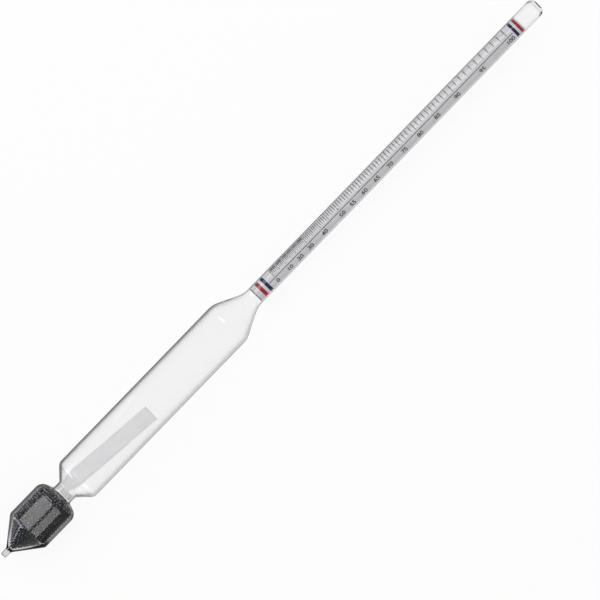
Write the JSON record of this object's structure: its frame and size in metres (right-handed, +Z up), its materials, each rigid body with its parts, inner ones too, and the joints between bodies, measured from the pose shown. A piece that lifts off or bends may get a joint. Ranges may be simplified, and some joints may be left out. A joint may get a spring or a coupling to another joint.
{
  "type": "alcoholometer",
  "caption": "Blown glass alcoholometer lying on its side: pointed bulb filled with shot, a paper plug in its narrow neck, slim float and a long stem with a rolled paper scale.",
  "frame": {"origin": "on the floor, below the middle of the instrument's length, under its axis", "axes": "+X along the glass axis from the sealed tip to the end of the stem, +Z up, the printed side of the scale upwards"},
  "size_m": [0.29, 0.0186, 0.0185],
  "materials": {
    "clear_glass": "polished",
    "dark_shot": "satin",
    "scale_paper": "matte",
    "plug_paper": "matte"
  },
  "bodies": {
    "root": {"glass_envelope": "clear_glass", "ballast_shot": "dark_shot", "paper_plug": "plug_paper", "paper_scale": "scale_paper"}
  },
  "joints": []
}
